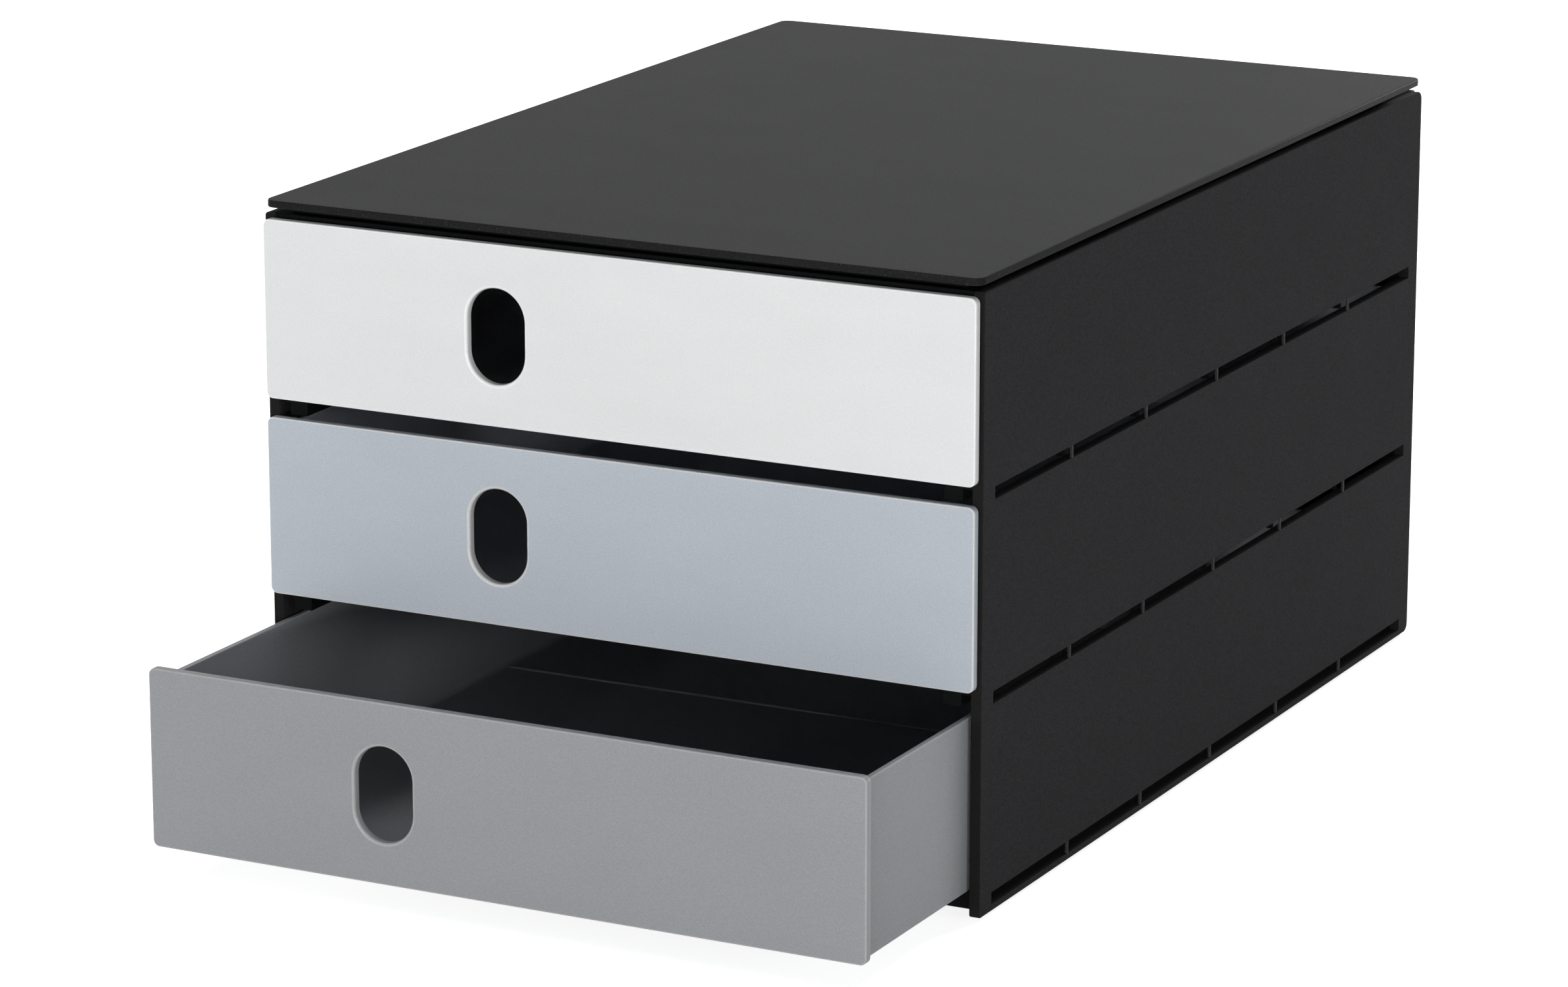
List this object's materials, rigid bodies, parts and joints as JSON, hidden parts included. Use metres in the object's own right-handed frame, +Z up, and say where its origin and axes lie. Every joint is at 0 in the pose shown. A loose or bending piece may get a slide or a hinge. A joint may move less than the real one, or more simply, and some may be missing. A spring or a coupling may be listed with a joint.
{
  "type": "desktop file drawer",
  "caption": "Desktop file drawer box: slotted housing with a flat lid and stacked sliding document trays with finger holes.",
  "frame": {"origin": "on the table, under the middle of the overall box as it stands with the lowest drawer pulled out", "axes": "+X to the right, +Y to the back and +Z up, seen from the drawer fronts"},
  "size_m": [0.2524, 0.4352, 0.2026],
  "materials": {
    "lid": "satin with a fine grain",
    "shell": "satin",
    "foot": "matt",
    "lower_drawer": "satin",
    "middle_drawer": "satin",
    "upper_drawer": "satin"
  },
  "bodies": {
    "housing": {"lid_plate": "lid", "lid_riser": "shell", "top_deck": "shell", "back_panel": "shell", "base_plate": "shell", "side_panel_left": "shell", "side_panel_right": "shell", "runner_lower_left": "shell", "runner_middle_left": "shell", "runner_upper_left": "shell", "runner_lower_right": "shell", "runner_middle_right": "shell", "runner_upper_right": "shell", "foot_front_left": "foot", "foot_back_left": "foot", "foot_front_right": "foot", "foot_back_right": "foot"},
    "lower_drawer": {"drawer_front_lower": "lower_drawer", "drawer_tray_lower": "lower_drawer"},
    "middle_drawer": {"drawer_front_middle": "middle_drawer", "drawer_tray_middle": "middle_drawer"},
    "upper_drawer": {"drawer_front_upper": "upper_drawer", "drawer_tray_upper": "upper_drawer"}
  },
  "joints": [
    {"name": "lower_drawer_slide", "type": "slide", "parent": "housing", "child": "lower_drawer", "axis": [0, -1, 0], "range_m": [-0.0723, 0.2027]},
    {"name": "middle_drawer_slide", "type": "slide", "parent": "housing", "child": "middle_drawer", "axis": [0, -1, 0], "range_m": [0, 0.275]},
    {"name": "upper_drawer_slide", "type": "slide", "parent": "housing", "child": "upper_drawer", "axis": [0, -1, 0], "range_m": [0, 0.275]}
  ]
}
